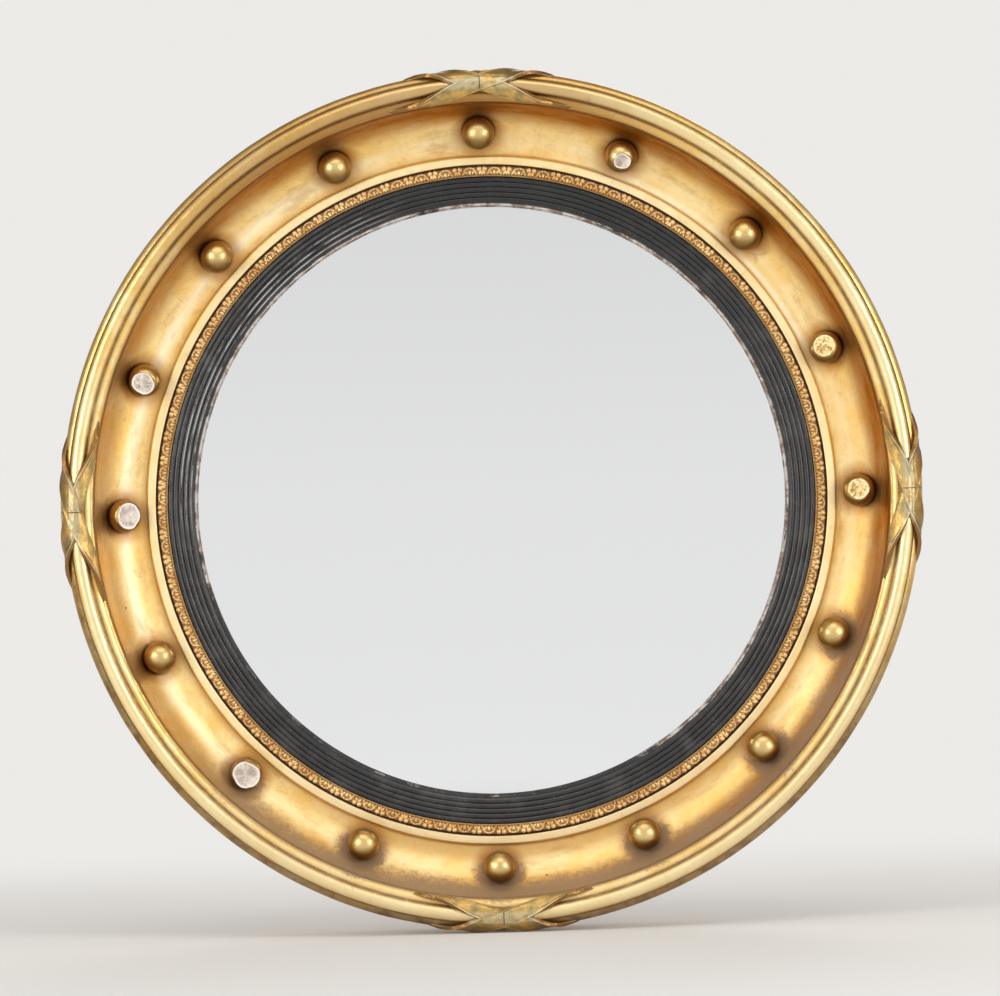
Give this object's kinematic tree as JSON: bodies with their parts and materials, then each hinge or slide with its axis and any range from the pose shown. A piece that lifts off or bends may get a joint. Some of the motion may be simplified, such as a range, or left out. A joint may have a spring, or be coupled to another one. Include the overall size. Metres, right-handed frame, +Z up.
{
  "type": "convex mirror",
  "caption": "Round convex wall mirror in a deep gilded frame with reeded rim, ribbon ties, applied balls, ebonised slip, pine back and a swinging brass hanging ring.",
  "frame": {"origin": "centre of the back, on the wall plane", "axes": "+Y into the wall, the glass faces -Y; +X to the right of someone who looks at the glass; +Z up"},
  "size_m": [0.563, 0.0771, 0.563],
  "materials": {
    "gilding": "worn gold leaf over red clay and gesso on pine",
    "tarnished_gilding": "dulled gold leaf with rubbed edges",
    "bronzed_gilding": "bronze-toned gilding with bright highlights",
    "ebonised_wood": "black polish, rubbed on the reeds",
    "mirror_plate": "silvered convex glass",
    "pine": "aged bare pine",
    "brass": "dull brass",
    "iron": "rusted iron"
  },
  "bodies": {
    "frame": {"reeded_rim": "gilding", "cavetto_ring": "gilding", "inner_fillet": "gilding", "leaf_moulding": "bronzed_gilding", "ebonised_slip": "ebonised_wood", "convex_glass": "mirror_plate", "ball_01": "gilding", "ball_02": "gilding", "ball_03": "gilding", "ball_04": "gilding", "ball_05": "gilding", "ball_06": "gilding", "ball_07": "gilding", "ball_08": "gilding", "ball_09": "gilding", "ball_10": "gilding", "ball_11": "gilding", "ball_12": "gilding", "ball_13": "gilding", "ball_14": "gilding", "ball_15": "gilding", "ball_16": "gilding", "ribbon_tie_top": "tarnished_gilding", "ribbon_tie_right": "tarnished_gilding", "ribbon_tie_bottom": "tarnished_gilding", "ribbon_tie_left": "tarnished_gilding", "back_segment_1": "pine", "back_segment_2": "pine", "back_segment_3": "pine", "back_segment_4": "pine", "back_segment_5": "pine", "back_segment_6": "pine", "back_segment_7": "pine", "back_segment_8": "pine", "glass_block_1": "pine", "glass_block_2": "pine", "glass_block_3": "pine", "glass_block_4": "pine", "glass_block_5": "pine", "glass_block_6": "pine", "glass_block_7": "pine", "glass_block_8": "pine", "backboard_plank_left": "pine", "backboard_plank_middle": "pine", "backboard_plank_right": "pine", "backboard_brads": "iron", "hanger_strap": "brass", "hanger_screws": "brass"},
    "ring": {"hanging_ring": "brass"}
  },
  "joints": [
    {"name": "hanging_ring_swing", "type": "hinge", "parent": "frame", "child": "ring", "pos_m": [0, -0.00407, 0.25017], "axis": [1, 0, 0], "range_deg": [0, 180]}
  ]
}
